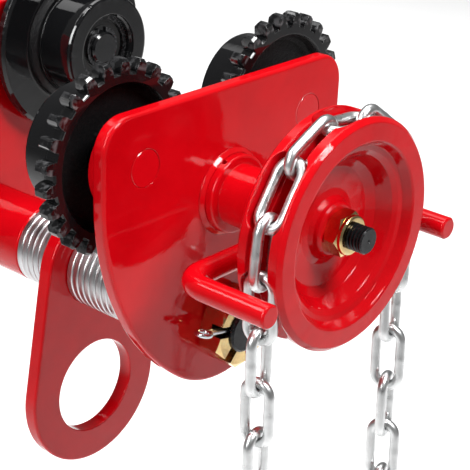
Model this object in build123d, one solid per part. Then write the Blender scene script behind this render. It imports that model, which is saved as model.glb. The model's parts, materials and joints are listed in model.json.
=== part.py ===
from build123d import *
import os
from math import acos, atan2, ceil, cos, degrees, floor, hypot, pi, radians, sin, sqrt, tan

# Geared beam trolley. X runs along the beam (the way the trolley travels), Y runs
# across the beam with the geared, hand-chain side at -Y, and Z is up. The origin is
# on the rolling surface of the beam's lower flange, midway between the four wheels.
# All sizes are in millimetres.

# ---- driving dimensions -------------------------------------------------------------
# Side plates
PLATE_GAP = 162.4  # between the inner faces of the two side plates
PLATE_T = 7.0
PLATE_HALF_WIDTH = 79.0
PLATE_TOP_Z = 53.0
PLATE_BOTTOM_Z = -92.0
PLATE_CORNER_R = 15.0
PLATE_FLANK_Z = 17.5  # height at which the straight flank turns into the long arc
PLATE_FLANK_R = 125.0
PLATE_EDGE_R = 1.6

# Track wheels
TREAD_R = 28.0
WHEEL_X = 54.6  # half the wheelbase
TREAD_INNER_Y = 44.2  # wheel face nearest the beam's web
GEAR_FACE_Y = (66.0, 73.3)  # gear teeth, which also act as the geared wheels' flange
GEARED_TREAD_FILLET_R = 3.0
PLAIN_FLANGE_Y = (70.5, 76.3)
PLAIN_FLANGE_R = 49.0
PLAIN_TREAD_FILLET_R = 0.8
DISH_R = 33.4  # mouth of the cast dish on the plate side
DISH_FLOOR_Y = 66.8
FACE_RECESS_R = 18.5

# Gearing
MODULE = 3.25
GEAR_TEETH = 25
PINION_TEETH = 12
PRESSURE_ANGLE = 20.0
TOOTH_PLAY = 0.35  # thinning of each tooth at the pitch circle
GEAR_ADDENDUM = 2.65
PINION_ADDENDUM = 3.1
DEDENDUM = 3.9

# Axles and 6003 ball bearings
AXLE_R = 8.5
AXLE_SHOULDER_R = 10.0
AXLE_END_Y = 46.6
BOSS_R = 22.0
BOSS_INNER_Y = 75.2
BEARING_BORE_R = 8.5
BEARING_OUTER_R = 17.5
BEARING_W = 10.0
BEARING_INNER_Y = 50.0  # bearing face nearest the beam's web
BALL_R = 2.38
BALL_COUNT = 10
BALL_PITCH_R = 13.0
RING_EDGE = 1.3  # from the ball circle to the edge of each bearing ring
SEAL_T = 0.8
SEAL_INSET = 0.2

# Retaining rings on the axles and the drive shaft, and in the wheels' bores
CLIP_T = 1.0
CLIP_GAP = 5.0
CLIP_BITE = 0.6  # how far a ring reaches into its groove
CLIP_WIDTH = 2.2  # how far it stands out of the groove
CLIP_GROOVE_DEPTH = 0.7
CLIP_GROOVE_W = 1.2
CLIP_PLAY = 0.1
BORE_CLIP_BITE = 0.8
BORE_CLIP_WIDTH = 2.6
BORE_GROOVE_DEPTH = 1.0
BORE_GROOVE_W = 1.4

# Crossbar, washers and load plate
BAR_R = 11.0
BAR_Z = -62.8
BAR_END_Y = 103.0
BAR_THREAD_Y = 88.0
BAR_THREAD_PITCH = 2.5
WASHER_R = 20.4
WASHER_STEP = 4.0
WASHER_GAP = 0.08
WASHERS_GEARED_SIDE = 8
WASHERS_PLAIN_SIDE = 7
TUBE_INNER_Y = 34.3
LOAD_PLATE_T = 8.0
LOAD_PLATE_Y = 2.0
LOAD_EYE_Z = -132.3
LOAD_EYE_R = 25.5
LOAD_TOP_R = 31.0
LOAD_BOTTOM_R = 42.5
LOAD_EDGE_R = 1.2
LOAD_EYE_EDGE_R = 0.5
NUT_FLATS = 34.0
NUT_H = 13.0
NUT_SLOT_DEPTH = 6.5
NUT_SLOT_W = 5.5
COTTER_WIRE_R = 1.15  # each of the split pin's two legs
COTTER_EYE_X = 26.0  # from the bar's axis to the middle of the pin's eye
COTTER_EYE_R = 3.3
COTTER_TILT = 13.0  # degrees that the split pin leans from the horizontal

# Drive shaft and its support
SHAFT_R = 9.0
COLLAR_R = 12.0
SEAT_R = 8.0
STUD_R = 6.0
STUD_PITCH = 1.75
KEY_W = 4.0
SHAFT_INNER_Y = -62.0
PINION_Y = (-75.0, -65.0)
SUPPORT_R = 14.5
SUPPORT_BORE_R = 11.0
SUPPORT_END_Y = -132.5
RING_R = 18.5
RING_T = 6.0
BUSH_LENGTH = 20.0

# Hand-chain wheel
CHAIN_Y = -148.0
HAND_WHEEL_R = 52.0
HAND_WHEEL_HALF_W = 12.0
POCKETS = 6
POCKET_FLOOR_R = 43.2
SLOT_HALF_W = 3.3
SLOT_FLOOR_R = 37.0
HUB_FACE_Y = -149.2
HUB_BACK_Y = -134.0
HUB_KEY_STOP = 1.2  # keyway ends this far inside the hub's outer face
HUB_R = 12.3
STUD_END_Y = -166.2
HUB_NUT_FLATS = 18.0
HUB_NUT_COLLAR_R = 9.0
INSERT_R = 7.2  # nylon ring in the lock nut
INSERT_Y = (-155.9, -157.6)

# Hand chain
PITCH = 25.0
WIRE_R = 2.4
LINK_HALF_WIDTH = 6.0  # from the link's centre line to the wire's centre
WELD_R = 2.65  # swelling at each link's butt weld
WELD_HALF = 2.0
FIRST_JOINT = 160.5  # degrees round the wheel
WRAP_LINKS = 9
LOOP_JOINTS = 38  # links in the whole endless chain
ON_WHEEL_LINKS = 6  # links with both joints on the wheel
HANG_BOTTOM_R = 40.0  # bend at the bottom of the loop
HANG_LEAN = 0.058  # sideways lean of the right strand
LEAN_BELOW = 26.0  # below the drive shaft, where the chain is clear of the last pocket
TWIST_STEP = 7.0
RIGHT_TWIST = 20.0
LEFT_TWIST = 10.0

# Chain guide
GUIDE_ROD_R = 5.25
GUIDE_HALF_WIDTH = 63.5
GUIDE_BASE_Y = -119.0
GUIDE_END_Y = -166.0
GUIDE_BEND_R = 11.0
GUIDE_DROP = 13.3  # below the drive shaft

RUNNING = 0.05  # radial clearance of a running fit
EASY = 0.2  # radial clearance where a part only passes through

# ---- derived dimensions -------------------------------------------------------------
PLATE_IN = PLATE_GAP / 2
PLATE_OUT = PLATE_IN + PLATE_T
GEAR_R = MODULE * GEAR_TEETH / 2
PINION_R = MODULE * PINION_TEETH / 2
CENTRE_DISTANCE = GEAR_R + PINION_R
AXLE_Z = TREAD_R
SHAFT_Z = AXLE_Z - sqrt(CENTRE_DISTANCE**2 - WHEEL_X**2)
LINK_ANGLE = 180 / POCKETS
HUB_KEY_Y = (HUB_FACE_Y + 1, HUB_BACK_Y - 1)
CHAIN_R = PITCH / 2 / sin(radians(LINK_ANGLE / 2))
GEARED, PLAIN = -1, 1  # side of the beam, as a sign of Y
LEFT, RIGHT = -1, 1  # end of the trolley, as a sign of X

os.makedirs("parts", exist_ok=True)


# ---- helpers ------------------------------------------------------------------------
def save(name, *solids):
    """Write one node; several solids go in as a group."""
    shape = solids[0] if len(solids) == 1 else Compound(children=list(solids))
    export_step(shape, f"parts/{name}.step")


def rod(radius, y_from, y_to, x=0.0, z=0.0):
    """Round bar along Y between two stations."""
    bar = Cylinder(radius, abs(y_to - y_from))
    return Pos(x, (y_from + y_to) / 2, z) * Rot(90, 0, 0) * bar


def turned(profile, x=0.0, z=0.0):
    """Solid of revolution about a line along Y; the profile's points are (radius, y)."""
    face = make_face(Polyline(*profile, close=True))
    return Pos(x, 0, z) * revolve(face, Axis.Y, 360)


def plate_of(outline, y_from, y_to):
    """Extrude a face drawn in (x, z) between two Y stations."""
    upright = Rot(90, 0, 0) * outline
    return Pos(0, max(y_from, y_to), 0) * extrude(upright, abs(y_to - y_from), dir=(0, -1, 0))


def polar(radius, angle):
    """Point of the (x, z) plane at a radius and an angle in degrees."""
    return radius * cos(radians(angle)), radius * sin(radians(angle))


def thread_rings(core, crest, start, end, pitch):
    """Profile points of ring-shaped thread crests from one station to another."""
    count = floor(abs(end - start) / pitch)
    step = pitch if end > start else -pitch
    points = []
    for turn in range(count):
        root = start + turn * step
        points += [(core, root), (crest, root + 0.35 * step)]
        points += [(crest, root + 0.6 * step), (core, root + 0.95 * step)]
    return points


def hexagon(flats, y_from, y_to, bore, x=0.0, z=0.0, turn=0.0):
    """Chamfered hexagon nut body along Y with a round hole."""
    corner = flats / sqrt(3)
    length = abs(y_to - y_from)
    body = extrude(RegularPolygon(corner, 6, rotation=turn), length / 2, both=True)
    # The chamfer cone takes the corners down to the flats at both ends.
    bevel = (corner - flats / 2) * tan(radians(30))
    barrel = Cylinder(corner, length)
    barrel = chamfer(barrel.edges().filter_by(GeomType.CIRCLE), bevel, 0.97 * (corner - flats / 2))
    nut = (body & barrel) - Cylinder(bore, 2 * length)
    return Pos(x, (y_from + y_to) / 2, z) * Rot(90, 0, 0) * nut


# ---- side plates --------------------------------------------------------------------
def side_plate_outline():
    """Shield shape: flat top, round corners, straight flanks and a rounded point below."""
    w, r = PLATE_HALF_WIDTH, PLATE_CORNER_R
    flank = PLATE_FLANK_R
    # Tip arc that meets both flank arcs smoothly and touches the bottom line.
    reach, height = w - flank, PLATE_FLANK_Z - PLATE_BOTTOM_Z
    tip_r = (flank**2 - reach**2 - height**2) / (2 * (flank - height))
    tip_z = PLATE_BOTTOM_Z + tip_r
    angle = atan2(tip_z - PLATE_FLANK_Z, -reach)
    meet = (reach + flank * cos(angle), PLATE_FLANK_Z + flank * sin(angle))
    half = (reach + flank * cos(angle / 2), PLATE_FLANK_Z + flank * sin(angle / 2))
    lean = r * (1 - sqrt(0.5))
    lines = Polyline((-w, PLATE_FLANK_Z), (-w, PLATE_TOP_Z - r))
    lines += ThreePointArc((-w, PLATE_TOP_Z - r), (-w + lean, PLATE_TOP_Z - lean), (-w + r, PLATE_TOP_Z))
    lines += Polyline((-w + r, PLATE_TOP_Z), (w - r, PLATE_TOP_Z))
    lines += ThreePointArc((w - r, PLATE_TOP_Z), (w - lean, PLATE_TOP_Z - lean), (w, PLATE_TOP_Z - r))
    lines += Polyline((w, PLATE_TOP_Z - r), (w, PLATE_FLANK_Z))
    lines += ThreePointArc((w, PLATE_FLANK_Z), half, meet)
    lines += ThreePointArc(meet, (0, PLATE_BOTTOM_Z), (-meet[0], meet[1]))
    lines += ThreePointArc((-meet[0], meet[1]), (-half[0], half[1]), (-w, PLATE_FLANK_Z))
    return make_face(lines)


def side_plate(side):
    plate = plate_of(side_plate_outline(), side * PLATE_IN, side * PLATE_OUT)
    broad = plate.faces().filter_by(Axis.Y)
    plate = fillet(broad.edges(), PLATE_EDGE_R)
    near, far = side * (PLATE_IN - 1), side * (PLATE_OUT + 1)
    for end in (LEFT, RIGHT):
        plate -= rod(AXLE_R, near, far, end * WHEEL_X, AXLE_Z)
    plate -= rod(BAR_R + EASY, near, far, 0, BAR_Z)
    if side == GEARED:
        plate -= rod(SUPPORT_R, near, far, 0, SHAFT_Z)
    return plate


# ---- axles and bearings -------------------------------------------------------------
def axle(side, end):
    """Shouldered axle, riveted flush with the outer face of its plate."""
    seat_y = BEARING_INNER_Y + BEARING_W
    groove_y = BEARING_INNER_Y - CLIP_PLAY
    groove = (groove_y, groove_y - CLIP_GROOVE_W)
    profile = [
        (0, PLATE_OUT),
        (AXLE_R - 0.4, PLATE_OUT),
        (AXLE_R, PLATE_OUT - 0.4),
        (AXLE_R, PLATE_IN),
        (AXLE_SHOULDER_R, PLATE_IN),
        (AXLE_SHOULDER_R, seat_y),
        (AXLE_R, seat_y),
        (AXLE_R, groove[0]),
        (AXLE_R - CLIP_GROOVE_DEPTH, groove[0]),
        (AXLE_R - CLIP_GROOVE_DEPTH, groove[1]),
        (AXLE_R, groove[1]),
        (AXLE_R, AXLE_END_Y + 1),
        (AXLE_R - 1, AXLE_END_Y),
        (0, AXLE_END_Y),
    ]
    return turned([(r, side * y) for r, y in profile], end * WHEEL_X, AXLE_Z)


def axle_boss(side, end):
    """Turned boss welded to the inside of the plate, carrying the axle's shoulder."""
    profile = [
        (AXLE_SHOULDER_R, PLATE_IN),
        (BOSS_R, PLATE_IN),
        (BOSS_R, BOSS_INNER_Y + 1.5),
        (BOSS_R - 1.5, BOSS_INNER_Y),
        (AXLE_SHOULDER_R, BOSS_INNER_Y),
    ]
    return turned([(r, side * y) for r, y in profile], end * WHEEL_X, AXLE_Z)


def race(side, end, inner):
    """Bearing ring with its ball groove."""
    mid_y = BEARING_INNER_Y + BEARING_W / 2
    if inner:
        r_from, r_to = BEARING_BORE_R, BALL_PITCH_R - RING_EDGE
    else:
        r_from, r_to = BALL_PITCH_R + RING_EDGE, BEARING_OUTER_R
    y_from, y_to = BEARING_INNER_Y, BEARING_INNER_Y + BEARING_W
    corners = [(r_from, y_from), (r_from, y_to), (r_to, y_to), (r_to, y_from)]
    ring = turned([(r, side * y) for r, y in corners])
    groove = Pos(0, side * mid_y, 0) * Rot(90, 0, 0) * Torus(BALL_PITCH_R, BALL_R + RUNNING)
    return Pos(end * WHEEL_X, 0, AXLE_Z) * (ring - groove)


def balls(side, end):
    mid_y = side * (BEARING_INNER_Y + BEARING_W / 2)
    places = [polar(BALL_PITCH_R, 360 * i / BALL_COUNT) for i in range(BALL_COUNT)]
    return [Pos(end * WHEEL_X + x, mid_y, AXLE_Z + z) * Sphere(BALL_R) for x, z in places]


def seals(side, end):
    """Rubber seals, held by the outer ring, at both faces of the bearing."""
    r_from, r_to = BALL_PITCH_R - RING_EDGE + RUNNING, BALL_PITCH_R + RING_EDGE
    both = []
    for face in (BEARING_INNER_Y + SEAL_INSET, BEARING_INNER_Y + BEARING_W - SEAL_INSET - SEAL_T):
        y_from, y_to = side * face, side * (face + SEAL_T)
        seal = rod(r_to, y_from, y_to) - rod(r_from, y_from - 1, y_to + 1)
        both.append(Pos(end * WHEEL_X, 0, AXLE_Z) * seal)
    return both


def snap_ring(r_from, r_to, y, ear_at):
    """Open retaining ring with its gap towards an angle in the (x, z) plane."""
    ring = rod(r_to, y - CLIP_T / 2, y + CLIP_T / 2) - rod(r_from, y - CLIP_T, y + CLIP_T)
    gap = Pos(r_to, 0, 0) * Box(2 * r_to, 4 * CLIP_T, CLIP_GAP)
    return ring - Rot(0, -ear_at, 0) * Pos(0, y, 0) * gap


def axle_clip(side, end):
    y = side * (BEARING_INNER_Y - CLIP_PLAY - CLIP_GROOVE_W / 2)
    return Pos(end * WHEEL_X, 0, AXLE_Z) * snap_ring(AXLE_R - CLIP_BITE, AXLE_R + CLIP_WIDTH, y, 90)


def bore_clip(side, end):
    y = side * (BEARING_INNER_Y - CLIP_PLAY - CLIP_GROOVE_W / 2)
    inner, outer = BEARING_OUTER_R - BORE_CLIP_WIDTH, BEARING_OUTER_R + BORE_CLIP_BITE
    return Pos(end * WHEEL_X, 0, AXLE_Z) * snap_ring(inner, outer, y, -60)


# ---- track wheels and gears ---------------------------------------------------------
def involute(angle):
    return tan(radians(angle)) - radians(angle)


def gear_face(teeth, addendum, tooth_angle):
    """Toothed disc drawn in (x, z), with one tooth centred on the given angle."""
    pitch_r = MODULE * teeth / 2
    base_r = pitch_r * cos(radians(PRESSURE_ANGLE))
    tip_r, root_r = pitch_r + addendum, pitch_r - DEDENDUM
    half_tooth = (pi * MODULE / 2 - TOOTH_PLAY) / 2 / pitch_r

    def half_angle(radius):
        """Half the tooth's angle at a radius, in degrees."""
        roll = degrees(acos(base_r / radius)) if radius > base_r else 0
        return degrees(half_tooth + involute(PRESSURE_ANGLE) - involute(roll))

    flank_from = max(base_r, root_r + 0.3)
    radii = [flank_from + (tip_r - flank_from) * step / 4 for step in range(5)]
    points = []
    for tooth in range(teeth):
        centre = tooth_angle + 360 * tooth / teeth
        rising = [(r, centre - half_angle(r)) for r in radii]
        falling = [(r, centre + half_angle(r)) for r in reversed(radii)]
        foot = half_angle(flank_from)
        points += [polar(root_r, centre - foot)]
        points += [polar(r, a) for r, a in rising + falling]
        points += [polar(root_r, centre + foot)]
    return make_face(Polyline(*points, close=True))


def mesh_angles(end):
    """Tooth angles of the pinion (one tooth up) and of the gear at one end, in mesh."""
    line = degrees(atan2(AXLE_Z - SHAFT_Z, end * WHEEL_X))
    pinion_step = 360 / PINION_TEETH
    off_line = (90 - line + pinion_step / 2) % pinion_step - pinion_step / 2
    gap = line + 180 - off_line * PINION_TEETH / GEAR_TEETH
    return 90, gap + 180 / GEAR_TEETH


def wheel_body(side, end, flange_r, flange_y, fillet_r):
    """Cast wheel: flange, tread, bearing seat, dish on the plate side."""
    seat_y = BEARING_INNER_Y + BEARING_W
    clip = (BEARING_INNER_Y, BEARING_INNER_Y - BORE_GROOVE_W)
    hub_bore = AXLE_SHOULDER_R + 3
    inner_y, outer_y = flange_y
    profile = [
        (hub_bore, seat_y),
        (BEARING_OUTER_R, seat_y),
        (BEARING_OUTER_R, clip[0]),
        (BEARING_OUTER_R + BORE_GROOVE_DEPTH, clip[0]),
        (BEARING_OUTER_R + BORE_GROOVE_DEPTH, clip[1]),
        (BEARING_OUTER_R, clip[1]),
        (BEARING_OUTER_R, TREAD_INNER_Y + 2.5),
        (FACE_RECESS_R, TREAD_INNER_Y + 1.5),
        (FACE_RECESS_R, TREAD_INNER_Y),
        (TREAD_R - 1.6, TREAD_INNER_Y),
        (TREAD_R - 0.5, TREAD_INNER_Y + 0.5),
        (TREAD_R, TREAD_INNER_Y + 1.6),
        (TREAD_R, inner_y),
        (flange_r - 1.5, inner_y),
        (flange_r, inner_y + 1.5),
        (flange_r, outer_y - 1.0),
        (flange_r - 1.0, outer_y),
        (DISH_R, outer_y),
        (DISH_R - 2.2, DISH_FLOOR_Y + 1.8),
        (DISH_R - 4.0, DISH_FLOOR_Y),
        (hub_bore, DISH_FLOOR_Y),
    ]
    body = turned([(r, side * y) for r, y in profile])
    corner = [
        edge
        for edge in body.edges().filter_by(GeomType.CIRCLE)
        if abs(edge.radius - TREAD_R) < 0.01 and abs(abs(edge.center().Y) - inner_y) < 0.01
    ]
    return Pos(end * WHEEL_X, 0, AXLE_Z) * fillet(corner, fillet_r)


def geared_wheel(end):
    """Track wheel whose flange is cut as a spur gear."""
    root_r = GEAR_R - DEDENDUM
    inner_y, outer_y = GEAR_FACE_Y
    body = wheel_body(GEARED, end, root_r + 0.6, GEAR_FACE_Y, GEARED_TREAD_FILLET_R)
    teeth = gear_face(GEAR_TEETH, GEAR_ADDENDUM, mesh_angles(end)[1])
    ring = plate_of(teeth - Circle(root_r - 1.5), -outer_y, -inner_y)
    tip_r = GEAR_R + GEAR_ADDENDUM
    # Cast teeth are eased at both ends.
    ease = [
        (root_r - 2, outer_y),
        (tip_r - 1.2, outer_y),
        (tip_r + 0.1, outer_y - 1.2),
        (tip_r + 0.1, inner_y + 1.6),
        (tip_r - 1.6, inner_y),
        (root_r - 2, inner_y),
    ]
    ring = ring & turned([(r, -y) for r, y in ease])
    return body + Pos(end * WHEEL_X, 0, AXLE_Z) * ring


# ---- crossbar and what is on it -----------------------------------------------------
def crossbar():
    """Load bar, threaded and cross-drilled at both ends."""
    core, crest = BAR_R - 1.3, BAR_R - 0.05
    outward = thread_rings(core, crest, BAR_THREAD_Y, BAR_END_Y - 2, BAR_THREAD_PITCH)
    half = [(BAR_R, BAR_THREAD_Y - 1)] + outward
    half += [(crest, BAR_END_Y - 1.8), (crest, BAR_END_Y - 1), (crest - 1, BAR_END_Y)]
    profile = [(0, -BAR_END_Y)] + [(r, -y) for r, y in reversed(half)] + half + [(0, BAR_END_Y)]
    bar = turned(profile, 0, BAR_Z)
    for side in (GEARED, PLAIN):
        hole = Rot(0, COTTER_TILT, 0) * Rot(0, 90, 0) * Cylinder(NUT_SLOT_W / 2, 4 * BAR_R)
        bar -= Pos(0, slot_y(side), BAR_Z) * hole
    return bar


def slot_y(side):
    """Middle of the castle nut's slots."""
    return side * (PLATE_OUT + NUT_H - NUT_SLOT_DEPTH / 2)


def castle_nut(side):
    """Thin castle nut: six slots across the flats, one pair in line with the split pin."""
    face_y, end_y = side * (PLATE_OUT + 0.05), side * (PLATE_OUT + NUT_H)
    nut = hexagon(NUT_FLATS, face_y, end_y, BAR_R, turn=30 - COTTER_TILT)
    for turn in range(3):
        slot = Rot(0, COTTER_TILT + 60 * turn, 0) * Box(2 * NUT_FLATS, NUT_SLOT_DEPTH, NUT_SLOT_W)
        nut -= Pos(0, slot_y(side), 0) * slot
    return Pos(0, 0, BAR_Z) * nut


def cotter_pin(side):
    """Split pin: eye at -X, two legs through the bar, their ends bent apart at +X."""
    neck_x = COTTER_EYE_X - COTTER_EYE_R
    exit_x = NUT_FLATS / 2
    tail = 7.0
    eye = Torus(COTTER_EYE_R, COTTER_WIRE_R)
    pin = Pos(-COTTER_EYE_X, 0, 0) * eye
    for turn in (1, -1):
        offset = turn * (COTTER_WIRE_R - 0.05)
        path = FilletPolyline(
            (-neck_x - 0.5, offset, 0),
            (exit_x + 2.5, offset, 0),
            (exit_x + 5.5, offset + turn * tail, 0),
            radius=2.6,
        )
        section = Plane(path @ 0, z_dir=path % 0) * Circle(COTTER_WIRE_R)
        pin += sweep(section, path)
    return Pos(0, slot_y(side), BAR_Z) * Rot(0, COTTER_TILT, 0) * pin


def spacer_washers(start, count):
    """Stack of loose steel washers on the crossbar, from one station towards +Y."""
    stack = []
    for i in range(count):
        y_from = start + i * WASHER_STEP + WASHER_GAP / 2
        y_to = y_from + WASHER_STEP - WASHER_GAP
        washer = rod(WASHER_R, y_from, y_to, 0, BAR_Z)
        washer = fillet(washer.edges().filter_by(GeomType.CIRCLE), 0.9)
        stack.append(washer - rod(BAR_R + EASY, y_from - 1, y_to + 1, 0, BAR_Z))
    return stack


def spacer_tube(side):
    tube = rod(WASHER_R, side * TUBE_INNER_Y, side * (PLATE_IN - 0.1), 0, BAR_Z)
    tube = chamfer(tube.edges().filter_by(GeomType.CIRCLE), 0.8)
    return tube - rod(BAR_R + EASY, side * TUBE_INNER_Y - 50 * side, side * PLATE_OUT, 0, BAR_Z)


def load_plate():
    """Suspension plate: small lobe round the crossbar, large lobe round the load eye."""
    drop = BAR_Z - LOAD_EYE_Z
    tilt = acos((LOAD_BOTTOM_R - LOAD_TOP_R) / drop)
    upper = (LOAD_TOP_R * sin(tilt), BAR_Z + LOAD_TOP_R * cos(tilt))
    lower = (LOAD_BOTTOM_R * sin(tilt), LOAD_EYE_Z + LOAD_BOTTOM_R * cos(tilt))
    lines = Polyline((-lower[0], lower[1]), (-upper[0], upper[1]))
    lines += ThreePointArc((-upper[0], upper[1]), (0, BAR_Z + LOAD_TOP_R), upper)
    lines += Polyline(upper, lower)
    lines += ThreePointArc(lower, (0, LOAD_EYE_Z - LOAD_BOTTOM_R), (-lower[0], lower[1]))
    y_from, y_to = LOAD_PLATE_Y - LOAD_PLATE_T / 2, LOAD_PLATE_Y + LOAD_PLATE_T / 2
    plate = plate_of(make_face(lines), y_from, y_to)
    plate = fillet(plate.faces().filter_by(Axis.Y).edges(), LOAD_EDGE_R)
    plate -= rod(LOAD_EYE_R, y_from - 1, y_to + 1, 0, LOAD_EYE_Z)
    circles = plate.edges().filter_by(GeomType.CIRCLE)
    rims = [edge for edge in circles if abs(edge.radius - LOAD_EYE_R) < 0.01]
    plate = fillet(rims, LOAD_EYE_EDGE_R)
    return plate - rod(BAR_R + RUNNING, y_from - 1, y_to + 1, 0, BAR_Z)


# ---- drive ---------------------------------------------------------------------------
def drive_shaft():
    """Stepped shaft: pinion seat, collar, journal, chain-wheel seat and threaded end."""
    stud_from = HUB_FACE_Y + 1.0
    core = STUD_R - 0.9
    crest = STUD_R - 0.05
    rings = thread_rings(core, crest, stud_from - 1, STUD_END_Y + 1.2, STUD_PITCH)
    groove = (PINION_Y[1] + CLIP_PLAY, PINION_Y[1] + CLIP_PLAY + CLIP_GROOVE_W)
    profile = [
        (0, SHAFT_INNER_Y),
        (SEAT_R - 1, SHAFT_INNER_Y),
        (SEAT_R, SHAFT_INNER_Y - 1),
        (SEAT_R, groove[1]),
        (SEAT_R - CLIP_GROOVE_DEPTH, groove[1]),
        (SEAT_R - CLIP_GROOVE_DEPTH, groove[0]),
        (SEAT_R, groove[0]),
        (SEAT_R, PINION_Y[0] - 0.1),
        (COLLAR_R, PINION_Y[0] - 0.1),
        (COLLAR_R, -PLATE_IN + 0.4),
        (SHAFT_R, -PLATE_IN + 0.4),
        (SHAFT_R, HUB_BACK_Y),
        (SEAT_R, HUB_BACK_Y),
        (SEAT_R, stud_from),
        (STUD_R, stud_from),
    ]
    profile += rings + [(crest, STUD_END_Y + 1.1), (crest, STUD_END_Y + 0.6)]
    profile += [(crest - 0.6, STUD_END_Y), (0.9, STUD_END_Y), (0, STUD_END_Y + 1)]
    shaft = turned(profile, 0, SHAFT_Z)
    return shaft - key_block(PINION_Y) - key_block(HUB_KEY_Y)


def key_block(span):
    """Square parallel key, half in the shaft and half in the hub above it."""
    length = abs(span[1] - span[0]) - 1
    return Pos(0, (span[0] + span[1]) / 2, SHAFT_Z + SEAT_R) * Box(KEY_W, length, KEY_W)


def keyed_bore(span, blind=0.0):
    """Shaft seat through a hub; its keyway stops short of the outer face by `blind`."""
    y_from, y_to = min(span) - 1, max(span) + 1
    key_from = min(span) + blind if blind else y_from
    keyway = Box(KEY_W + 0.1, y_to - key_from, KEY_W + 0.4)
    keyway = Pos(0, (key_from + y_to) / 2, SHAFT_Z + SEAT_R) * keyway
    return rod(SEAT_R + 0.02, y_from, y_to, 0, SHAFT_Z) + keyway


def pinion():
    teeth = gear_face(PINION_TEETH, PINION_ADDENDUM, mesh_angles(RIGHT)[0])
    body = Pos(0, 0, SHAFT_Z) * plate_of(teeth, *PINION_Y)
    return body - keyed_bore(PINION_Y)


def pinion_clip():
    y = PINION_Y[1] + CLIP_PLAY + CLIP_GROOVE_W / 2
    return Pos(0, 0, SHAFT_Z) * snap_ring(SEAT_R - CLIP_BITE, SEAT_R + CLIP_WIDTH, y, 90)


def support_tube():
    """Bearing tube through the geared plate, with a ring collar welded outside."""
    tube = rod(SUPPORT_R, -PLATE_IN, SUPPORT_END_Y, 0, SHAFT_Z)
    ring = rod(RING_R, -PLATE_OUT, -PLATE_OUT - RING_T, 0, SHAFT_Z)
    ring = fillet(ring.edges().filter_by(GeomType.CIRCLE).sort_by(Axis.Y)[0], 1.2)
    tube += ring
    tube -= rod(SUPPORT_BORE_R, -PLATE_IN + 1, SUPPORT_END_Y - 1, 0, SHAFT_Z)
    oil_hole = Pos(0, -PLATE_OUT - RING_T / 2, SHAFT_Z) * Rot(0, -25, 0) * Pos(0, 0, RING_R)
    return tube - oil_hole * Cylinder(1.3, 2 * (RING_R - SUPPORT_R) + 3)


def ring_weld():
    """Fillet weld between the ring collar and the plate."""
    leg = 2.2
    profile = [(RING_R, -PLATE_OUT), (RING_R + leg, -PLATE_OUT), (RING_R, -PLATE_OUT - leg)]
    return turned(profile, 0, SHAFT_Z)


def bush(y_outer):
    """Plain bronze bush pressed into the support tube."""
    y_from, y_to = y_outer, y_outer + BUSH_LENGTH
    sleeve = rod(SUPPORT_BORE_R, y_from, y_to, 0, SHAFT_Z)
    return sleeve - rod(SHAFT_R + RUNNING, y_from - 1, y_to + 1, 0, SHAFT_Z)


def hand_wheel():
    """Cast chain wheel: two flanges, a pocket for each flat link, dished web and hub."""
    w, back = HAND_WHEEL_HALF_W, HUB_BACK_Y - CHAIN_Y
    hub_face = HUB_FACE_Y - CHAIN_Y
    rim = HAND_WHEEL_R
    # Distances along Y from the chain plane; negative is the outside of the wheel.
    profile = [
        (SEAT_R - 1, hub_face),
        (HUB_R - 1, hub_face),
        (HUB_R, hub_face + 1),
        (HUB_R + 0.6, 1.6),
        (HUB_R + 2.0, 3.4),
        (HUB_R + 5, 4.2),
        (27.0, 3.6),
        (31.0, 1.0),
        (34.5, -5.5),
        (36.8, -7.0),
        (39.2, -7.6),
        (41.2, -w + 0.6),
        (42.0, -w),
        (rim - 2, -w),
        (rim, -w + 2),
        (rim, w - 2),
        (rim - 2, w),
        (38.5, w),
        (35.5, w - 3.5),
        (31.0, w - 3.8),
        (HUB_R + 4, w - 2.6),
        (HUB_R + 2, back - 0.8),
        (HUB_R + 1, back),
        (SEAT_R - 1, back),
    ]
    wheel = turned([(r, CHAIN_Y + y) for r, y in profile], 0, SHAFT_Z)
    # Groove for the upright links, opening out towards the rim.
    mouth = 6.4
    groove = [
        (SLOT_FLOOR_R, -SLOT_HALF_W),
        (SLOT_FLOOR_R, SLOT_HALF_W),
        (POCKET_FLOOR_R + 2.5, SLOT_HALF_W + 0.2),
        (rim + 1, mouth),
        (rim + 1, -mouth),
        (POCKET_FLOOR_R + 2.5, -SLOT_HALF_W - 0.2),
    ]
    wheel -= turned([(r, CHAIN_Y + y) for r, y in groove], 0, SHAFT_Z)
    for pocket in range(POCKETS):
        angle = FIRST_JOINT - LINK_ANGLE / 2 + 2 * LINK_ANGLE * pocket
        hollow = Rot(0, -angle, 0) * Pos(POCKET_FLOOR_R + 10, 0, 0) * pocket_block()
        wheel -= Pos(0, CHAIN_Y, SHAFT_Z) * hollow
    return wheel - keyed_bore((HUB_FACE_Y, HUB_BACK_Y), blind=HUB_KEY_STOP)


def pocket_block():
    """Round-ended hollow that a flat link lies in, with its floor at local x = -10."""
    half_y = LINK_HALF_WIDTH + WIRE_R + 0.5
    length = PITCH + 2 * WIRE_R + 7.2
    block = Box(20, 2 * half_y, length)
    return fillet(block.edges().filter_by(Axis.X), 7.5)


def lock_nut():
    """Nyloc nut: hexagon with a domed collar over the insert ring."""
    face, crown, end = HUB_FACE_Y - 0.05, HUB_FACE_Y - 6.8, HUB_FACE_Y - 9.0
    body = hexagon(HUB_NUT_FLATS, face, crown, STUD_R, 0, SHAFT_Z, turn=6)
    collar = rod(HUB_NUT_COLLAR_R, crown, end, 0, SHAFT_Z)
    collar = fillet(collar.edges().filter_by(GeomType.CIRCLE).sort_by(Axis.Y)[0], 1.2)
    bore = rod(STUD_R, face + 1, end - 1, 0, SHAFT_Z)
    insert_seat = rod(INSERT_R, INSERT_Y[0], INSERT_Y[1], 0, SHAFT_Z)
    return body + collar - bore - insert_seat


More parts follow.
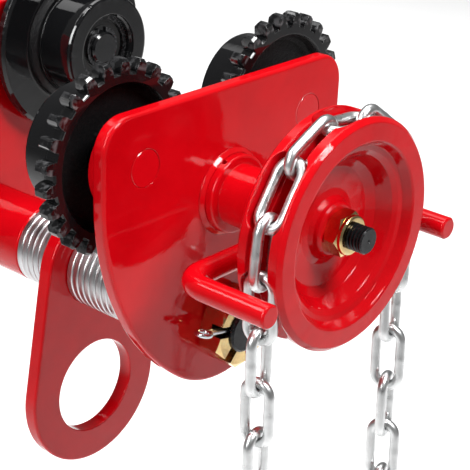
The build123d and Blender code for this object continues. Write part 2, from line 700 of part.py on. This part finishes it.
def lock_nut_insert():
    return rod(INSERT_R, *INSERT_Y, 0, SHAFT_Z) - rod(STUD_R, HUB_FACE_Y, STUD_END_Y, 0, SHAFT_Z)


# ---- chain guide --------------------------------------------------------------------
def chain_guide():
    """Bent rod welded under the support tube; its two legs hold the chain on the wheel."""
    x, z = GUIDE_HALF_WIDTH, SHAFT_Z - GUIDE_DROP
    path = FilletPolyline(
        (-x, GUIDE_END_Y, z),
        (-x, GUIDE_BASE_Y, z),
        (x, GUIDE_BASE_Y, z),
        (x, GUIDE_END_Y, z),
        radius=GUIDE_BEND_R,
    )
    section = Plane(path @ 0, z_dir=path % 0) * Circle(GUIDE_ROD_R)
    rail = sweep(section, path)
    ends = rail.edges().filter_by(GeomType.CIRCLE).group_by(Axis.Y)[0]
    rail = chamfer(ends, 0.8)
    return rail - rod(SUPPORT_R, GUIDE_BASE_Y - 15, GUIDE_BASE_Y + 15, 0, SHAFT_Z)


# ---- hand chain ---------------------------------------------------------------------
def link():
    """One welded link along local Z, lying in the local (x, z) plane."""
    straight = PITCH + 2 * WIRE_R - 2 * LINK_HALF_WIDTH
    half, r = straight / 2, LINK_HALF_WIDTH
    path = Polyline((r, 0, -half), (r, 0, half))
    path += ThreePointArc((r, 0, half), (0, 0, half + r), (-r, 0, half))
    path += Polyline((-r, 0, half), (-r, 0, -half))
    path += ThreePointArc((-r, 0, -half), (0, 0, -half - r), (r, 0, -half))
    section = Plane((r, 0, -half), z_dir=(0, 0, 1)) * Circle(WIRE_R)
    swollen = [(0, -WELD_HALF), (WIRE_R, -WELD_HALF), (WELD_R, -WELD_HALF / 2)]
    swollen += [(WELD_R, WELD_HALF / 2), (WIRE_R, WELD_HALF), (0, WELD_HALF)]
    weld = revolve(Plane.XZ * make_face(Polyline(*swollen, close=True)), Axis.Z)
    return sweep(section, Wire(path.edges())) + Pos(-r, 0, 0) * weld


def strand_point(share, drop):
    """Point on the right strand, from the wheel (0) down to the start of the bottom bend (1)."""
    return CHAIN_R + share * (HANG_BOTTOM_R - CHAIN_R), -share * drop


def loop_point(travel, drop):
    """Point of the chain's centre line at a distance along it, clockwise from angle 180."""
    top, bottom = pi * CHAIN_R, pi * HANG_BOTTOM_R
    strand = hypot(drop, CHAIN_R - HANG_BOTTOM_R)
    travel %= top + bottom + 2 * strand
    if travel < top:
        x, z = polar(CHAIN_R, 180 - degrees(travel / CHAIN_R))
        return Vector(x, 0, z)
    travel -= top
    if travel < strand:
        x, z = strand_point(travel / strand, drop)
    elif travel < strand + bottom:
        x, z = polar(HANG_BOTTOM_R, -degrees((travel - strand) / HANG_BOTTOM_R))
        z -= drop
    else:
        x, z = strand_point((2 * strand + bottom - travel) / strand, drop)
        x = -x
    lean = HANG_LEAN * (1 + x / CHAIN_R) / 2
    return Vector(x, lean * min(z + LEAN_BELOW, 0), z)


def next_joint(travel, drop):
    """Distance along the loop of the joint one pitch further on."""
    start = loop_point(travel, drop)
    low, high = travel + 0.9 * PITCH, travel + 1.2 * PITCH
    for _ in range(40):
        middle = (low + high) / 2
        if (loop_point(middle, drop) - start).length < PITCH:
            low = middle
        else:
            high = middle
    return low


def chain_joints():
    """Joints of the endless chain, with the drop that makes it close on itself."""
    start = CHAIN_R * radians(180 - FIRST_JOINT)
    low, high = 100.0, 900.0
    for _ in range(40):
        drop = (low + high) / 2
        strand = hypot(drop, CHAIN_R - HANG_BOTTOM_R)
        joints = [start]
        for _ in range(LOOP_JOINTS):
            joints.append(next_joint(joints[-1], drop))
        if joints[-1] - start > pi * (CHAIN_R + HANG_BOTTOM_R) + 2 * strand:
            low = drop
        else:
            high = drop
    return [loop_point(travel, drop) for travel in joints[:-1]]


def link_twist(i, count):
    """Turn of a link about its own length: none on the wheel, more down each strand."""
    after = i - ON_WHEEL_LINKS + 1
    before = count - i
    if after < 1:
        return 0
    right = min(TWIST_STEP * (after - 0.5), RIGHT_TWIST)
    left = min(TWIST_STEP * (before - 0.5), LEFT_TWIST)
    share = after / (after + before)
    return left * share - right * (1 - share)


def placed_links(joints):
    """All links, each between two joints, with every second one turned a quarter turn."""
    model = link()
    count = len(joints)
    links = []
    for i in range(count):
        lower, upper = joints[i], joints[(i + 1) % count]
        along = (upper - lower).normalized()
        across = Vector(0, 1, 0).cross(along)
        middle = (lower + upper) / 2 + Vector(0, CHAIN_Y, SHAFT_Z)
        quarter = 0 if i % 2 else 90
        place = Plane(origin=middle, x_dir=across, z_dir=along)
        links.append(place * Rot(0, 0, quarter + link_twist(i, count)) * model)
    return links


# ---- build ---------------------------------------------------------------------------
save("side_plate_geared", side_plate(GEARED))
save("side_plate_plain", side_plate(PLAIN))
for side, label in ((GEARED, "geared"), (PLAIN, "plain")):
    save(f"axles_{label}_side", *[axle(side, end) for end in (LEFT, RIGHT)])
    save(f"axle_bosses_{label}_side", *[axle_boss(side, end) for end in (LEFT, RIGHT)])
    for end, place in ((LEFT, "left"), (RIGHT, "right")):
        if side == GEARED:
            save(f"geared_wheel_{place}", geared_wheel(end))
        else:
            wheel = wheel_body(PLAIN, end, PLAIN_FLANGE_R, PLAIN_FLANGE_Y, PLAIN_TREAD_FILLET_R)
            save(f"plain_wheel_{place}", wheel)
        save(f"bearing_outer_{label}_{place}", race(side, end, inner=False))
        save(f"bearing_balls_{label}_{place}", *balls(side, end))
        save(f"bearing_seals_{label}_{place}", *seals(side, end))
        save(f"bore_clip_{label}_{place}", bore_clip(side, end))
every_wheel = [(side, end) for side in (GEARED, PLAIN) for end in (LEFT, RIGHT)]
save("bearing_inner_rings", *[race(side, end, inner=True) for side, end in every_wheel])
save("axle_clips", *[axle_clip(side, end) for side, end in every_wheel])

save("crossbar", crossbar())
save("spacer_tube_geared_side", spacer_tube(GEARED))
save("spacer_tube_plain_side", spacer_tube(PLAIN))
load_inner = LOAD_PLATE_T / 2 + 0.3
geared_start = LOAD_PLATE_Y - load_inner - WASHERS_GEARED_SIDE * WASHER_STEP
save("washers_geared_side", *spacer_washers(geared_start, WASHERS_GEARED_SIDE))
save("washers_plain_side", *spacer_washers(LOAD_PLATE_Y + load_inner, WASHERS_PLAIN_SIDE))
save("load_plate", load_plate())
save("castle_nuts", castle_nut(GEARED), castle_nut(PLAIN))
save("cotter_pins", cotter_pin(GEARED), cotter_pin(PLAIN))

save("support_tube", support_tube())
save("ring_weld", ring_weld())
save("bushes", bush(-PLATE_IN - BUSH_LENGTH), bush(SUPPORT_END_Y))
save("drive_shaft", drive_shaft())
save("shaft_keys", key_block(PINION_Y), key_block(HUB_KEY_Y))
save("pinion", pinion())
save("pinion_clip", pinion_clip())
save("hand_chain_wheel", hand_wheel())
save("lock_nut", lock_nut())
save("lock_nut_insert", lock_nut_insert())
save("chain_guide", chain_guide())

links = placed_links(chain_joints())
# The first links lie on the wheel; one more before them hangs down the left side.
wrapped = links[-2:] + links[: WRAP_LINKS - 2]
hanging = links[WRAP_LINKS - 2 : -2]
third = ceil(len(hanging) / 3)
save("chain_on_wheel", *wrapped)
save("chain_right_strand", *hanging[:third])
save("chain_bottom_loop", *hanging[third : 2 * third])
save("chain_left_strand", *hanging[2 * third :])
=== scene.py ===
import json
from math import cos, exp, hypot, pi, radians, sin

import bmesh
import bpy
import numpy as np
from mathutils import Matrix, Vector


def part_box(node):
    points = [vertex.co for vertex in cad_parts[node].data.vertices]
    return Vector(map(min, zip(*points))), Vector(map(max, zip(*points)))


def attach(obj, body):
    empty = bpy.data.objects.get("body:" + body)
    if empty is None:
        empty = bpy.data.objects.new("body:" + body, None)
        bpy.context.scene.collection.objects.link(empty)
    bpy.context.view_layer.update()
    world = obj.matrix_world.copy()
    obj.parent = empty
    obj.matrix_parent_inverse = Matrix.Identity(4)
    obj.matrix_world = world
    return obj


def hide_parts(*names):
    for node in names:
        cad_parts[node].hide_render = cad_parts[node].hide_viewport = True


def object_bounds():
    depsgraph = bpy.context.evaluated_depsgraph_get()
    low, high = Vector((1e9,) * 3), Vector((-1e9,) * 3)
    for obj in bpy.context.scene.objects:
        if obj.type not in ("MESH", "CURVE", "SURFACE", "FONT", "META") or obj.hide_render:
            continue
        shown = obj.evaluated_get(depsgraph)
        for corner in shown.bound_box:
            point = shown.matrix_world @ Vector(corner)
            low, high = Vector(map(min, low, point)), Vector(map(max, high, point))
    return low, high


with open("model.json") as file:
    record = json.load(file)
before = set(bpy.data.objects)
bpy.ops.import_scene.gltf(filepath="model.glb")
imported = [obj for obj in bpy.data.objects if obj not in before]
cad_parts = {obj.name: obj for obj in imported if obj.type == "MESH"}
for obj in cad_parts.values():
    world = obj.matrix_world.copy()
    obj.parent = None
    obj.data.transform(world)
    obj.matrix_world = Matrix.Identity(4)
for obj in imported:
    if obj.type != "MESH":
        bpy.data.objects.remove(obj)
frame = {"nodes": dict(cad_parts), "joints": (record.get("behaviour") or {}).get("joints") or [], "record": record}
CAD_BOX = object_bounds()
NODES = frame["nodes"]
JOINTS = {joint["name"]: joint for joint in frame["joints"]}
MM = 0.001

# ---- places read from the frame ------------------------------------------------------
SHAFT_Z = JOINTS["drive_spin"]["pos_m"][2]
AXLE_Z = JOINTS["wheel_geared_right_spin"]["pos_m"][2]
WHEEL_X = JOINTS["wheel_geared_right_spin"]["pos_m"][0]
# The bearings are painted with the wheel for this depth from their face at the beam.
PAINT_DEPTH = 3 * MM
PAINT_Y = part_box("bearing_outer_plain_right")[0].y + PAINT_DEPTH

# ---- camera --------------------------------------------------------------------------
SENSOR = 36.0
LENS = 111.63064
NEAREST = 0.02
CAMERA_AZIMUTH = radians(-51.35)
CAMERA_HEIGHT = radians(25.57)
CAMERA_ROLL = radians(3.02)
CAMERA_DISTANCE = 0.6564
CAMERA_TARGET = Vector((-0.0042, -0.1132, -0.0339))
CAMERA_SHIFT = (-0.0573, 0.1047)


def add_camera():
    """Camera at the photograph's viewing angle."""
    flat = cos(CAMERA_HEIGHT)
    back = Vector((sin(CAMERA_AZIMUTH) * flat, -cos(CAMERA_AZIMUTH) * flat, sin(CAMERA_HEIGHT)))
    data = bpy.data.cameras.new("camera")
    data.sensor_width = SENSOR
    data.lens = LENS
    data.shift_x, data.shift_y = CAMERA_SHIFT
    data.clip_start = NEAREST
    camera = bpy.data.objects.new("camera", data)
    bpy.context.scene.collection.objects.link(camera)
    turn = back.to_track_quat("Z", "Y").to_matrix().to_4x4()
    place = Matrix.Translation(CAMERA_TARGET + back * CAMERA_DISTANCE)
    camera.matrix_world = place @ turn @ Matrix.Rotation(CAMERA_ROLL, 4, "Z")
    bpy.context.scene.camera = camera


# ---- studio --------------------------------------------------------------------------
def area_light(name, place, target, size, watts, colour=(1, 1, 1)):
    data = bpy.data.lights.new(name, "AREA")
    data.shape = "RECTANGLE"
    data.size, data.size_y = size
    data.energy = watts
    data.color = colour
    light = bpy.data.objects.new(name, data)
    light.location = place
    light.rotation_euler = (Vector(place) - Vector(target)).to_track_quat("Z", "Y").to_euler()
    bpy.context.scene.collection.objects.link(light)
    return data


WORLD_LIGHT = 0.17
FLOOR_REACH = 9.0
FLOOR_GAP = 12 * MM


def add_studio():
    """Pale floor lit beyond the trolley, a dim room and a few softboxes."""
    area_light("softbox_top", (-0.35, 0.30, 1.0), (0, 0, 0), (0.30, 0.9), 6.5)
    area_light("softbox_left", (-1.2, -0.1, 0.7), (0, 0, 0), (0.25, 0.9), 2.6).spread = radians(80)
    area_light("softbox_camera", (0.05, -0.85, 1.0), (0, 0, 0), (0.45, 0.35), 6.5).spread = radians(110)
    area_light("floor_wash", (1.0, 0.55, 1.5), (1.0, 0.55, -0.39), (1.6, 2.0), 16).spread = radians(90)

    world = bpy.data.worlds.new("room")
    world.use_nodes = True
    background = world.node_tree.nodes["Background"]
    background.inputs["Color"].default_value = (1.0, 1.0, 1.0, 1)
    background.inputs["Strength"].default_value = WORLD_LIGHT
    bpy.context.scene.world = world
    bpy.context.scene.view_settings.view_transform = "Standard"

    reach = FLOOR_REACH
    level = CAD_BOX[0][2] - FLOOR_GAP
    mesh = bpy.data.meshes.new("floor")
    corners = [(-reach, -reach), (reach, -reach), (reach, reach), (-reach, reach)]
    mesh.from_pydata([(x, y, level) for x, y in corners], [], [(0, 1, 2, 3)])
    floor = bpy.data.objects.new("floor", mesh)
    bpy.context.scene.collection.objects.link(floor)
    paper = Look("pale_floor")
    paper.set(roughness=0.9, colour=(0.93, 0.93, 0.93))
    tone = paper.noise(3.0, detail=2)
    paper.link(paper.mix(tone, (0.90, 0.90, 0.90), (0.95, 0.95, 0.95)), "Base Color")
    floor.data.materials.append(paper.material)


# ---- materials -----------------------------------------------------------------------
class Look:
    """A procedural material on the Principled shader, in the object's own coordinates."""

    def __init__(self, name):
        self.material = bpy.data.materials.new(name)
        self.material.use_nodes = True
        self.tree = self.material.node_tree
        self.shader = self.tree.nodes["Principled BSDF"]
        self.place = self.add("ShaderNodeTexCoord").outputs["Object"]

    def add(self, kind, **values):
        node = self.tree.nodes.new(kind)
        for key, value in values.items():
            setattr(node, key, value)
        return node

    def set(self, colour=None, roughness=None, metallic=None, specular=None, ior=None, coat=None):
        names = {
            "Base Color": (*colour, 1) if colour else None,
            "Roughness": roughness,
            "Metallic": metallic,
            "Specular IOR Level": specular,
            "IOR": ior,
            "Coat Weight": coat,
        }
        for name, value in names.items():
            if value is not None:
                self.shader.inputs[name].default_value = value

    def link(self, output, socket):
        self.tree.links.new(output, self.shader.inputs[socket])

    def feed(self, node, values):
        for socket, value in values.items():
            if isinstance(value, bpy.types.NodeSocket):
                self.tree.links.new(value, node.inputs[socket])
            elif value is not None:
                node.inputs[socket].default_value = value
        return node

    def noise(self, scale, detail=3, roughness=0.55, stretch=None):
        place = self.place
        if stretch:
            mapping = self.feed(self.add("ShaderNodeMapping"), {"Vector": place, "Scale": stretch})
            place = mapping.outputs[0]
        node = self.add("ShaderNodeTexNoise")
        values = {"Vector": place, "Scale": scale, "Detail": detail, "Roughness": roughness}
        return self.feed(node, values).outputs["Fac"]

    def cells(self, scale):
        node = self.feed(self.add("ShaderNodeTexVoronoi"), {"Vector": self.place, "Scale": scale})
        return node.outputs["Distance"]

    def ramp(self, value, low, high, out_low=0.0, out_high=1.0):
        node = self.add("ShaderNodeMapRange", clamp=True)
        values = {"Value": value, "From Min": low, "From Max": high}
        values.update({"To Min": out_low, "To Max": out_high})
        return self.feed(node, values).outputs[0]

    def math(self, operation, a, b=None):
        node = self.add("ShaderNodeMath", operation=operation)
        return self.feed(node, {0: a, 1: b}).outputs[0]

    def mix(self, factor, a, b):
        node = self.add("ShaderNodeMix", data_type="RGBA")
        for socket, value in ((0, factor), (6, a), (7, b)):
            if isinstance(value, tuple):
                value = (*value, 1)
            self.feed(node, {socket: value})
        return node.outputs[2]

    def axes(self):
        node = self.feed(self.add("ShaderNodeSeparateXYZ"), {"Vector": self.place})
        return node.outputs[0], node.outputs[1], node.outputs[2]

    def distance(self, across, up):
        """Distance from an axis, from the offsets in two directions."""
        squares = [self.math("POWER", offset, 2.0) for offset in (across, up)]
        return self.math("SQRT", self.math("ADD", *squares))

    def edges(self, low=0.52, high=0.6):
        """1 on worn convex edges, 0 elsewhere."""
        return self.ramp(self.add("ShaderNodeNewGeometry").outputs["Pointiness"], low, high)

    def bump(self, *layers, soften=0.0):
        """Eased edges, then a stack of (height, strength, distance) layers, into the normal."""
        normal = None
        if soften:
            normal = self.feed(self.add("ShaderNodeBevel", samples=6), {"Radius": soften}).outputs[0]
        for height, strength, distance in layers:
            node = self.add("ShaderNodeBump")
            values = {"Height": height, "Strength": strength, "Distance": distance, "Normal": normal}
            normal = self.feed(node, values).outputs[0]
        self.link(normal, "Normal")


RED = (0.56, 0.002, 0.006)
RED_DEEP = (0.47, 0.001, 0.004)
BLACK = (0.0045, 0.0045, 0.005)
# Each pair of places is where one finish fades into the next.
WEB_R = (28.5 * MM, 34.0 * MM)  # chain wheel: rough casting near the hub, smooth outside
DISH_Y = (65.5 * MM, 66.2 * MM)  # track wheels: grainy in the dish on the plate side
DISH_R = (32.5 * MM, 33.5 * MM)
RED_AXLE_Y = (74.8 * MM, 75.2 * MM)  # axles: red from their bosses outwards


def red_enamel():
    """Thick gloss enamel with faint orange peel and small runs."""
    look = Look("red_enamel")
    look.set(ior=1.38)
    tone = look.ramp(look.noise(38, detail=4), 0.35, 0.7)
    look.link(look.mix(tone, RED, RED_DEEP), "Base Color")
    look.link(look.ramp(look.noise(260, detail=5), 0.3, 0.8, 0.03, 0.09), "Roughness")
    peel = look.noise(420, detail=1)
    waves = look.noise(55, detail=2)
    nibs = look.ramp(look.cells(190), 0.0, 0.09, 1.0, 0.0)
    look.bump((waves, 0.25, 0.0006), (peel, 0.12, 0.0002), (nibs, 0.15, 0.0001), soften=0.0008)
    return look.material


def red_casting():
    """The same enamel over sand-cast iron."""
    look = Look("red_casting")
    look.set(ior=1.34)
    tone = look.ramp(look.noise(60, detail=5), 0.35, 0.7)
    look.link(look.mix(tone, RED, RED_DEEP), "Base Color")
    look.link(look.ramp(look.noise(300, detail=5), 0.3, 0.8, 0.03, 0.10), "Roughness")
    x, _, z = look.axes()
    radius = look.distance(x, look.math("SUBTRACT", z, SHAFT_Z))
    web = look.ramp(radius, *WEB_R, 1.0, 0.12)
    patch = look.ramp(look.noise(70, detail=2), 0.48, 0.62)
    rough = look.math("MULTIPLY", look.math("MULTIPLY", web, patch), look.noise(1500, detail=4))
    look.bump((look.noise(75, detail=3), 0.35, 0.0008), (rough, 0.55, 0.0004),
              (look.noise(450, detail=2), 0.12, 0.0002), soften=0.0009)
    return look.material


def black_casting():
    """Gloss black paint: smooth on worked faces, grainy in the cast dish."""
    look = Look("black_casting")
    look.set(ior=1.5)
    x, y, z = look.axes()
    out = look.math("SUBTRACT", look.math("ABSOLUTE", x), WHEEL_X)
    radius = look.distance(out, look.math("SUBTRACT", z, AXLE_Z))
    depth = look.ramp(look.math("ABSOLUTE", y), *DISH_Y)
    inside = look.ramp(radius, *DISH_R, 1.0, 0.0)
    dish = look.math("MULTIPLY", depth, inside)
    wear = look.math("MULTIPLY", look.edges(0.56, 0.66), look.ramp(look.noise(300, detail=4), 0.45, 0.6))
    dust = look.math("MULTIPLY", dish, look.ramp(look.noise(900, detail=3), 0.45, 0.75))
    base = look.mix(dust, BLACK, (0.010, 0.009, 0.009))
    look.link(look.mix(wear, base, (0.12, 0.12, 0.125)), "Base Color")
    smooth = look.ramp(look.noise(240, detail=4), 0.3, 0.8, 0.03, 0.08)
    grainy = look.math("MULTIPLY", dish, 0.25)
    look.link(look.ramp(dish, 0.0, 1.0, 0.5, 0.15), "Specular IOR Level")
    look.link(look.math("ADD", smooth, grainy), "Roughness")
    grain = look.math("MULTIPLY", dish, look.noise(800, detail=4, roughness=0.65))
    look.bump((look.noise(70, detail=3), 0.22, 0.0005), (grain, 0.9, 0.0006),
              (look.noise(500, detail=2), 0.06, 0.0002), soften=0.0005)
    return look.material


def bright_zinc(name, roughness, wave, colour=(0.74, 0.75, 0.78)):
    """Bright zinc plate; the wavelength of its faint unevenness is 1 / wave metres."""
    look = Look(name)
    look.set(metallic=1.0)
    tone = look.ramp(look.noise(wave, detail=4), 0.35, 0.7)
    darker = tuple(0.8 * c for c in colour)
    look.link(look.mix(tone, colour, darker), "Base Color")
    fine = look.noise(3 * wave, detail=4)
    look.link(look.ramp(fine, 0.3, 0.75, roughness, roughness + 0.14), "Roughness")
    look.bump((look.noise(wave, detail=2), 0.06, 0.0003), (look.noise(8 * wave, detail=2), 0.04, 0.0001))
    return look.material


def turned_zinc():
    """Zinc-plated washers with fine rings on their rims."""
    look = Look("turned_zinc")
    look.set(metallic=1.0)
    tone = look.ramp(look.noise(45, detail=4, stretch=(1, 9, 1)), 0.3, 0.75)
    look.link(look.mix(tone, (0.72, 0.72, 0.73), (0.46, 0.46, 0.47)), "Base Color")
    rings = look.noise(60, detail=3, stretch=(0.4, 30, 0.4))
    look.link(look.ramp(rings, 0.3, 0.75, 0.2, 0.42), "Roughness")
    look.bump((rings, 0.3, 0.0004), (look.noise(900, detail=2), 0.06, 0.0001))
    return look.material


def yellow_zinc():
    """Yellow-passivated zinc with its faint pink and green cast."""
    look = Look("yellow_zinc")
    look.set(metallic=1.0)
    tone = look.ramp(look.noise(160, detail=3), 0.35, 0.7)
    warm = look.mix(tone, (0.78, 0.58, 0.27), (0.62, 0.42, 0.20))
    tint = look.ramp(look.noise(420, detail=2), 0.55, 0.75, 0.0, 0.4)
    look.link(look.mix(tint, warm, (0.72, 0.70, 0.42)), "Base Color")
    look.link(look.ramp(look.noise(500, detail=4), 0.3, 0.75, 0.10, 0.24), "Roughness")
    look.bump((look.noise(260, detail=3), 0.15, 0.0003),)
    return look.material


def black_oxide():
    """Blackened steel with a dry, slightly worn surface."""
    look = Look("black_oxide")
    look.set(metallic=0.55)
    wear = look.math("MULTIPLY", look.edges(0.55, 0.68), look.ramp(look.noise(700, detail=3), 0.4, 0.6))
    base = look.mix(look.noise(300, detail=4), (0.006, 0.006, 0.007), (0.014, 0.014, 0.015))
    look.link(look.mix(wear, base, (0.10, 0.10, 0.105)), "Base Color")
    look.link(look.ramp(look.noise(650, detail=4), 0.3, 0.75, 0.14, 0.26), "Roughness")
    look.bump((look.noise(900, detail=4), 0.10, 0.0002),)
    return look.material


def axle_finish():
    """Axles: red over the riveted outer ends, black paint on the rest."""
    look = Look("axle_finish")
    look.set(ior=1.5)
    y = look.axes()[1]
    outer = look.ramp(look.math("ABSOLUTE", y), *RED_AXLE_Y)
    black = look.mix(look.noise(200), BLACK, (0.010, 0.010, 0.011))
    look.link(look.mix(outer, black, RED), "Base Color")
    look.link(look.ramp(look.noise(300, detail=4), 0.3, 0.8, 0.07, 0.15), "Roughness")
    look.bump((look.noise(55, detail=2), 0.25, 0.0006), (look.noise(420, detail=1), 0.12, 0.0002))
    return look.material


def ground_steel():
    """Bearing steel, with black paint on the faces turned to the beam."""
    look = Look("ground_steel")
    y = look.axes()[1]
    painted = look.ramp(look.math("ABSOLUTE", y), PAINT_Y, PAINT_Y + 0.0002, 1.0, 0.0)
    metal = look.mix(look.noise(200), (0.56, 0.56, 0.57), (0.44, 0.44, 0.45))
    look.link(look.mix(painted, metal, BLACK), "Base Color")
    look.link(look.math("SUBTRACT", 1.0, painted), "Metallic")
    look.link(look.ramp(look.noise(900, detail=4), 0.3, 0.75, 0.12, 0.25), "Roughness")
    look.bump((look.noise(1500, detail=2), 0.05, 0.0001),)
    return look.material


def dark_moulding(name, colour, roughness):
    """Rubber seals and the lock nut's nylon ring."""
    look = Look(name)
    darker = tuple(0.6 * c for c in colour)
    look.link(look.mix(look.noise(400), colour, darker), "Base Color")
    look.link(look.ramp(look.noise(900, detail=4), 0.3, 0.75, roughness, roughness + 0.2), "Roughness")
    look.bump((look.noise(1400, detail=2), 0.1, 0.0001),)
    return look.material


def sintered_bronze():
    look = Look("sintered_bronze")
    look.set(metallic=1.0)
    look.link(look.mix(look.noise(700), (0.52, 0.34, 0.15), (0.38, 0.24, 0.11)), "Base Color")
    look.link(look.ramp(look.noise(1200, detail=4), 0.3, 0.75, 0.3, 0.5), "Roughness")
    look.bump((look.noise(2500, detail=3), 0.3, 0.0001),)
    return look.material


# ---- pieces built over the CAD -------------------------------------------------------
LINK_WIRE_R = 2.4 * MM
LINK_HALF_WIDE = 8.4 * MM
WIRE_EASE = 0.985  # the rebuilt wire stays just inside the CAD link
WELD_SWELL = 0.06  # share of the wire's radius
WELD_LENGTH = 1.6 * MM
LINK_STEPS = 14
LINK_SIDES = 20


def islands(node):
    """Vertex positions of each separate solid in a node's mesh, in the row's frame."""
    work = bmesh.new()
    work.from_mesh(NODES[node].data)
    bmesh.ops.remove_doubles(work, verts=work.verts, dist=1e-6)
    place = NODES[node].matrix_world
    seen = set()
    groups = []
    for start in work.verts:
        if start.index in seen:
            continue
        seen.add(start.index)
        stack, group = [start], []
        while stack:
            vert = stack.pop()
            group.append(place @ vert.co)
            for edge in vert.link_edges:
                other = edge.other_vert(vert)
                if other.index not in seen:
                    seen.add(other.index)
                    stack.append(other)
        groups.append(np.array(group))
    work.free()
    return groups


def solid_axes(points):
    """Centre and axes of a solid, the longest way first."""
    spread = np.linalg.eigh(np.cov((points - points.mean(axis=0)).T))[1][:, ::-1]
    local = points @ spread
    low, high = local.min(axis=0), local.max(axis=0)
    return Vector(spread @ ((low + high) / 2)), [Vector(spread[:, k]) for k in range(3)], (high - low) / 2


def link_path(half_long, half_wide, wire, steps):
    """Centre line of a link in its own plane, with the distance along it."""
    radius = half_wide - wire
    straight = half_long - wire - radius
    points = []
    for k in range(steps + 1):
        turn = pi * k / steps
        points.append((radius * cos(turn), straight + radius * sin(turn)))
    for k in range(1, steps):
        points.append((-radius, straight * (1 - 2 * k / steps)))
    for k in range(steps + 1):
        turn = pi + pi * k / steps
        points.append((radius * cos(turn), -straight + radius * sin(turn)))
    for k in range(1, steps):
        points.append((radius, straight * (2 * k / steps - 1)))
    return points


def wire_link(verts, faces, centre, axes, half, side):
    """One link of round wire with a butt-weld collar on one leg."""
    along, across, normal = axes
    wire = half[2]
    path = link_path(half[0], half[1], wire, LINK_STEPS)
    around = LINK_SIDES
    base = len(verts)
    count = len(path)
    for i, (u, v) in enumerate(path):
        before, after = path[i - 1], path[(i + 1) % count]
        du, dv = after[0] - before[0], after[1] - before[1]
        scale = hypot(du, dv)
        out = across * (dv / scale) - along * (du / scale)
        swell = 0.0
        if u * side > 0 and abs(abs(u) - (half[1] - wire)) < 1e-6:
            swell = WELD_SWELL * exp(-(v / WELD_LENGTH) ** 2)
        for k in range(around):
            turn = 2 * pi * k / around
            offset = out * cos(turn) + normal * sin(turn)
            verts.append(centre + across * u + along * v + offset * wire * (WIRE_EASE + swell))
    for i in range(count):
        for k in range(around):
            a = base + i * around
            b = base + (i + 1) % count * around
            nxt = (k + 1) % around
            faces.append((a + k, a + nxt, b + nxt, b + k))


def add_chain(node, body):
    """The node's links again, as smooth drawn wire."""
    verts, faces = [], []
    for points in islands(node):
        centre, axes, half = solid_axes(points)
        # The weld stands out past the wire, on the one leg that carries it.
        offsets = points - np.array(centre)
        swollen = np.abs(offsets @ np.array(axes[2])) > LINK_WIRE_R + 0.1 * MM
        side = 1 if (offsets @ np.array(axes[1]))[swollen].mean() > 0 else -1
        centre -= axes[1] * side * max(half[1] - LINK_HALF_WIDE, 0.0)
        half[2] = min(half[2], LINK_WIRE_R)
        half[1] = min(half[1], LINK_HALF_WIDE)
        wire_link(verts, faces, centre, axes, half, side)
    mesh = bpy.data.meshes.new(node + "_wire")
    mesh.from_pydata([tuple(v) for v in verts], [], faces)
    mesh.polygons.foreach_set("use_smooth", [True] * len(faces))
    mesh.materials.append(LOOKS["chain_zinc"])
    chain = bpy.data.objects.new(node + "_wire", mesh)
    bpy.context.scene.collection.objects.link(chain)
    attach(chain, body)
    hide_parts(node)


add_camera()
add_studio()

LOOKS = {
    "red_paint": red_enamel(),
    "red_cast": red_casting(),
    "black_cast": black_casting(),
    "black_bar": black_oxide(),
    "axle_steel": axle_finish(),
    "bearing_steel": ground_steel(),
    "spring_steel": black_oxide(),
    "zinc": bright_zinc("bright_zinc", 0.16, 160),
    "chain_zinc": bright_zinc("chain_zinc", 0.26, 120, (0.80, 0.81, 0.81)),
    "yellow_zinc": yellow_zinc(),
    "bronze": sintered_bronze(),
    "nylon": dark_moulding("black_nylon", (0.012, 0.012, 0.013), 0.4),
    "seal_rubber": dark_moulding("seal_rubber", (0.010, 0.010, 0.010), 0.5),
}
SLOTS = {entry["node"]: entry["material_slot"] for entry in frame["record"]["subparts"]}
for node, slot in SLOTS.items():
    NODES[node].data.materials.clear()
    NODES[node].data.materials.append(LOOKS[slot])
add_chain("chain_on_wheel", "frame")
for strand in ("chain_right_strand", "chain_bottom_loop", "chain_left_strand"):
    add_chain(strand, "chain_loop")
for node in ("washers_geared_side", "washers_plain_side"):
    NODES[node].data.materials[0] = turned_zinc()
